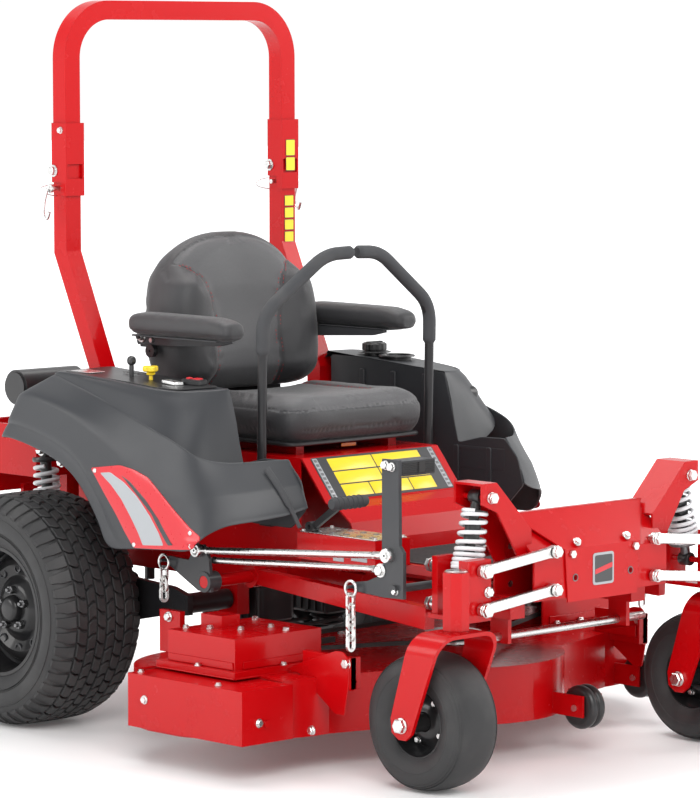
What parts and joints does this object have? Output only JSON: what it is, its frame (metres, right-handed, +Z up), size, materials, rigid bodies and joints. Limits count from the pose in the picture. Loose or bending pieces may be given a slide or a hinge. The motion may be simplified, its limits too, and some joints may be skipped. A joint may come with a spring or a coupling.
{
  "type": "zero turn mower",
  "caption": "Ride-on zero turn mower with a sprung chassis, folding roll bar, swinging lap bars, swivel casters and a lifting three-blade cutting deck.",
  "frame": {"origin": "on the ground below the middle of the whole machine", "axes": "+Z up, front at -Y, the machine's right side at -X"},
  "size_m": [1.57, 2.02, 1.868],
  "materials": {
    "red_paint": "gloss powder coat",
    "dark_plastic": "moulded, fine texture",
    "black_paint": "satin",
    "zinc_steel": "zinc plated",
    "grey_paint": "satin",
    "spring_paint": "satin",
    "seat_vinyl": "grained vinyl",
    "tyre_rubber": "moulded rubber",
    "black_plastic": "satin",
    "yellow_plastic": "satin",
    "belt_rubber": "matt",
    "foam_grip": "foam",
    "wheel_paint": "satin",
    "blank_label": "film",
    "floor_rubber": "ribbed",
    "cast_aluminium": "cast",
    "red_plastic": "satin"
  },
  "bodies": {
    "chassis": {"main_frame": "red_paint", "nose_cover": "red_paint", "floor_pan": "red_paint", "fender_left": "dark_plastic", "fender_right": "dark_plastic", "rops_posts": "red_paint", "seat_base": "red_paint", "engine": "black_paint", "air_cleaner": "black_plastic", "fuel_tank": "black_plastic", "chassis_bolts": "zinc_steel", "rear_springs": "spring_paint"},
    "seat": {"seat_cushion": "seat_vinyl", "seat_back": "seat_vinyl", "seat_shell": "black_paint"},
    "rops_hoop": {"rops_hoop": "red_paint"},
    "deck": {"deck_shell": "red_paint", "discharge_cover": "red_paint", "belt_covers": "red_paint", "deck_belt": "belt_rubber", "deck_hardware": "zinc_steel"},
    "brake_lever": {"brake_lever": "black_paint"},
    "pto_knob": {"pto_knob": "yellow_plastic"},
    "throttle_lever": {"throttle_lever": "black_plastic"},
    "fuel_cap": {"fuel_cap": "black_plastic"},
    "spindle_centre": {"spindle_centre": "zinc_steel"},
    "spindle_left": {"spindle_left": "zinc_steel"},
    "spindle_right": {"spindle_right": "zinc_steel"},
    "roller_centre": {"roller_centre": "black_plastic"},
    "roller_left": {"roller_left": "black_plastic"},
    "bellcrank_front": {"bellcrank_front": "grey_paint"},
    "bellcrank_rear": {"bellcrank_rear": "grey_paint"},
    "lift_rod": {"lift_rod": "zinc_steel"},
    "armrest_left": {"armrest_left": "seat_vinyl"},
    "armrest_right": {"armrest_right": "seat_vinyl"},
    "lap_bar_yoke_left": {"lap_bar_yoke_left": "black_paint"},
    "lap_bar_yoke_right": {"lap_bar_yoke_right": "black_paint"},
    "lap_bar_left": {"lap_bar_left": "black_paint"},
    "lap_bar_right": {"lap_bar_right": "black_paint"},
    "lock_pin_left": {"lock_pin_left": "zinc_steel"},
    "lock_pin_right": {"lock_pin_right": "zinc_steel"},
    "upper_link_left": {"upper_link_left": "zinc_steel"},
    "upper_link_right": {"upper_link_right": "zinc_steel"},
    "lower_link_left": {"lower_link_left": "zinc_steel"},
    "lower_link_right": {"lower_link_right": "zinc_steel"},
    "knuckle_left": {"knuckle_left": "red_paint"},
    "knuckle_right": {"knuckle_right": "red_paint"},
    "radius_arm_left": {"radius_arm_left": "red_paint"},
    "radius_arm_right": {"radius_arm_right": "red_paint"},
    "front_shock_left": {"front_shock_left": "spring_paint"},
    "front_shock_right": {"front_shock_right": "spring_paint"},
    "fork_left": {"fork_left": "red_paint"},
    "fork_right": {"fork_right": "red_paint"},
    "caster_wheel_left": {"caster_wheel_left": "tyre_rubber"},
    "caster_wheel_right": {"caster_wheel_right": "tyre_rubber"},
    "rear_arm_left": {"rear_arm_left": "black_paint"},
    "rear_arm_right": {"rear_arm_right": "black_paint"},
    "rear_wheel_left": {"rear_wheel_left": "tyre_rubber"},
    "rear_wheel_right": {"rear_wheel_right": "tyre_rubber"}
  },
  "joints": [
    {"name": "seat_slide", "type": "slide", "parent": "chassis", "child": "seat", "axis": [0, 1, 0], "range_m": [0, 0.06]},
    {"name": "deck_lift", "type": "slide", "parent": "chassis", "child": "deck", "axis": [0, 0, 1], "range_m": [-0.045, 0.03]},
    {"name": "front_bellcrank", "type": "hinge", "parent": "chassis", "child": "bellcrank_front", "pos_m": [-0.5, -0.737, 0.468], "axis": [1, 0, 0], "range_deg": [-19, 13]},
    {"name": "rear_bellcrank", "type": "hinge", "parent": "chassis", "child": "bellcrank_rear", "pos_m": [-0.5, -0.057, 0.418], "axis": [1, 0, 0], "range_deg": [-19, 13]},
    {"name": "lift_rod_pivot", "type": "hinge", "parent": "bellcrank_front", "child": "lift_rod", "pos_m": [-0.513, -0.717, 0.547], "axis": [1, 0, 0], "range_deg": [-13, 19]},
    {"name": "blade_centre", "type": "hinge", "parent": "deck", "child": "spindle_centre", "pos_m": [0, -0.43, 0.2], "axis": [0, 0, 1], "continuous": true},
    {"name": "blade_left", "type": "hinge", "parent": "deck", "child": "spindle_left", "pos_m": [0.505, -0.215, 0.2], "axis": [0, 0, 1], "continuous": true},
    {"name": "blade_right", "type": "hinge", "parent": "deck", "child": "spindle_right", "pos_m": [-0.505, -0.215, 0.2], "axis": [0, 0, 1], "continuous": true},
    {"name": "roller_centre_spin", "type": "hinge", "parent": "deck", "child": "roller_centre", "pos_m": [0.115, -0.772, 0.118], "axis": [1, 0, 0], "continuous": true},
    {"name": "roller_left_spin", "type": "hinge", "parent": "deck", "child": "roller_left", "pos_m": [0.5635, -0.56, 0.118], "axis": [1, 0, 0], "continuous": true},
    {"name": "parking_brake", "type": "hinge", "parent": "chassis", "child": "brake_lever", "pos_m": [-0.364, -0.3, 0.566], "axis": [1, 0, 0], "range_deg": [0, 25]},
    {"name": "pto_pull", "type": "slide", "parent": "chassis", "child": "pto_knob", "axis": [0, 0, 1], "range_m": [0, 0.012]},
    {"name": "throttle", "type": "hinge", "parent": "chassis", "child": "throttle_lever", "pos_m": [-0.459, 0.272, 0.87], "axis": [1, 0, 0], "range_deg": [-20, 20]},
    {"name": "fuel_cap_turn", "type": "hinge", "parent": "chassis", "child": "fuel_cap", "pos_m": [0.45, 0.322, 0.935], "axis": [0, 0, 1], "continuous": true},
    {"name": "rops_fold", "type": "hinge", "parent": "chassis", "child": "rops_hoop", "pos_m": [0, 0.634, 1.424], "axis": [-1, 0, 0], "range_deg": [0, 100]},
    {"name": "armrest_left_lift", "type": "hinge", "parent": "seat", "child": "armrest_left", "pos_m": [0.27, 0.445, 0.993], "axis": [-1, 0, 0], "range_deg": [0, 90]},
    {"name": "lap_bar_left_drive", "type": "hinge", "parent": "chassis", "child": "lap_bar_yoke_left", "pos_m": [0.274, -0.04, 0.56], "axis": [1, 0, 0], "range_deg": [-6, 14]},
    {"name": "lap_bar_left_swing", "type": "hinge", "parent": "lap_bar_yoke_left", "child": "lap_bar_left", "pos_m": [0.296, -0.04, 0.62], "axis": [0, 1, 0], "range_deg": [0, 18]},
    {"name": "lock_pin_left_pull", "type": "slide", "parent": "chassis", "child": "lock_pin_left", "axis": [1, 0, 0], "range_m": [0, 0.06]},
    {"name": "front_link_left", "type": "hinge", "parent": "chassis", "child": "lower_link_left", "pos_m": [0.181, -0.866, 0.456], "axis": [0, -1, 0], "range_deg": [-6, 6], "stiffness_Nm_per_rad": 9000, "springref_deg": -1.72, "deforming": ["front_shock_left"]},
    {"name": "knuckle_left_pivot", "type": "hinge", "parent": "lower_link_left", "child": "knuckle_left", "pos_m": [0.421, -0.866, 0.431], "axis": [0, -1, 0], "range_deg": [-6, 6]},
    {"name": "upper_link_left_pivot", "type": "hinge", "parent": "chassis", "child": "upper_link_left", "pos_m": [0.181, -0.866, 0.548], "axis": [0, -1, 0], "range_deg": [-6, 6]},
    {"name": "radius_arm_left_pivot", "type": "hinge", "parent": "chassis", "child": "radius_arm_left", "pos_m": [0.335, -0.057, 0.418], "axis": [-1, 0, 0], "range_deg": [-2.2, 2.2]},
    {"name": "front_shock_left_pivot", "type": "hinge", "parent": "chassis", "child": "front_shock_left", "pos_m": [0.354, -0.859, 0.687], "axis": [0, -1, 0], "range_deg": [-1.8, 1.8]},
    {"name": "caster_left_swivel", "type": "hinge", "parent": "knuckle_left", "child": "fork_left", "pos_m": [0.486, -0.921, 0.45], "axis": [0, 0, 1], "continuous": true},
    {"name": "caster_left_roll", "type": "hinge", "parent": "fork_left", "child": "caster_wheel_left", "pos_m": [0.487, -0.845, 0.165], "axis": [1, 0, 0], "continuous": true},
    {"name": "rear_arm_left_pivot", "type": "hinge", "parent": "chassis", "child": "rear_arm_left", "pos_m": [0.27, 0.15, 0.33], "axis": [1, 0, 0], "range_deg": [-3.5, 3.5], "stiffness_Nm_per_rad": 30000, "springref_deg": -1.72, "deforming": ["rear_springs"]},
    {"name": "rear_wheel_left_roll", "type": "hinge", "parent": "rear_arm_left", "child": "rear_wheel_left", "pos_m": [0.563, 0.551, 0.3], "axis": [1, 0, 0], "continuous": true},
    {"name": "armrest_right_lift", "type": "hinge", "parent": "seat", "child": "armrest_right", "pos_m": [-0.27, 0.445, 0.993], "axis": [-1, 0, 0], "range_deg": [0, 90]},
    {"name": "lap_bar_right_drive", "type": "hinge", "parent": "chassis", "child": "lap_bar_yoke_right", "pos_m": [-0.274, -0.04, 0.56], "axis": [1, 0, 0], "range_deg": [-6, 14]},
    {"name": "lap_bar_right_swing", "type": "hinge", "parent": "lap_bar_yoke_right", "child": "lap_bar_right", "pos_m": [-0.296, -0.04, 0.62], "axis": [0, -1, 0], "range_deg": [0, 18]},
    {"name": "lock_pin_right_pull", "type": "slide", "parent": "chassis", "child": "lock_pin_right", "axis": [-1, 0, 0], "range_m": [0, 0.06]},
    {"name": "front_link_right", "type": "hinge", "parent": "chassis", "child": "lower_link_right", "pos_m": [-0.181, -0.866, 0.456], "axis": [0, 1, 0], "range_deg": [-6, 6], "stiffness_Nm_per_rad": 9000, "springref_deg": -1.72, "deforming": ["front_shock_right"]},
    {"name": "knuckle_right_pivot", "type": "hinge", "parent": "lower_link_right", "child": "knuckle_right", "pos_m": [-0.421, -0.866, 0.431], "axis": [0, 1, 0], "range_deg": [-6, 6]},
    {"name": "upper_link_right_pivot", "type": "hinge", "parent": "chassis", "child": "upper_link_right", "pos_m": [-0.181, -0.866, 0.548], "axis": [0, 1, 0], "range_deg": [-6, 6]},
    {"name": "radius_arm_right_pivot", "type": "hinge", "parent": "chassis", "child": "radius_arm_right", "pos_m": [-0.335, -0.057, 0.418], "axis": [-1, 0, 0], "range_deg": [-2.2, 2.2]},
    {"name": "front_shock_right_pivot", "type": "hinge", "parent": "chassis", "child": "front_shock_right", "pos_m": [-0.354, -0.859, 0.687], "axis": [0, 1, 0], "range_deg": [-1.8, 1.8]},
    {"name": "caster_right_swivel", "type": "hinge", "parent": "knuckle_right", "child": "fork_right", "pos_m": [-0.486, -0.921, 0.45], "axis": [0, 0, 1], "continuous": true},
    {"name": "caster_right_roll", "type": "hinge", "parent": "fork_right", "child": "caster_wheel_right", "pos_m": [-0.487, -0.845, 0.165], "axis": [1, 0, 0], "continuous": true},
    {"name": "rear_arm_right_pivot", "type": "hinge", "parent": "chassis", "child": "rear_arm_right", "pos_m": [-0.27, 0.15, 0.33], "axis": [1, 0, 0], "range_deg": [-3.5, 3.5], "stiffness_Nm_per_rad": 30000, "springref_deg": -1.72, "deforming": ["rear_springs"]},
    {"name": "rear_wheel_right_roll", "type": "hinge", "parent": "rear_arm_right", "child": "rear_wheel_right", "pos_m": [-0.563, 0.551, 0.3], "axis": [1, 0, 0], "continuous": true}
  ],
  "couplings": [
    {"joint": "front_bellcrank", "follows": "deck_lift", "rad_per_m": 7.1429},
    {"joint": "rear_bellcrank", "follows": "deck_lift", "rad_per_m": 7.1429},
    {"joint": "lift_rod_pivot", "follows": "deck_lift", "rad_per_m": -7.1429},
    {"joint": "blade_left", "follows": "blade_centre", "ratio": 1},
    {"joint": "blade_right", "follows": "blade_centre", "ratio": 1},
    {"joint": "knuckle_left_pivot", "follows": "front_link_left", "ratio": -1},
    {"joint": "upper_link_left_pivot", "follows": "front_link_left", "ratio": 1},
    {"joint": "radius_arm_left_pivot", "follows": "front_link_left", "ratio": 0.33},
    {"joint": "front_shock_left_pivot", "follows": "front_link_left", "ratio": 0.28},
    {"joint": "knuckle_right_pivot", "follows": "front_link_right", "ratio": -1},
    {"joint": "upper_link_right_pivot", "follows": "front_link_right", "ratio": 1},
    {"joint": "radius_arm_right_pivot", "follows": "front_link_right", "ratio": 0.33},
    {"joint": "front_shock_right_pivot", "follows": "front_link_right", "ratio": 0.28}
  ]
}
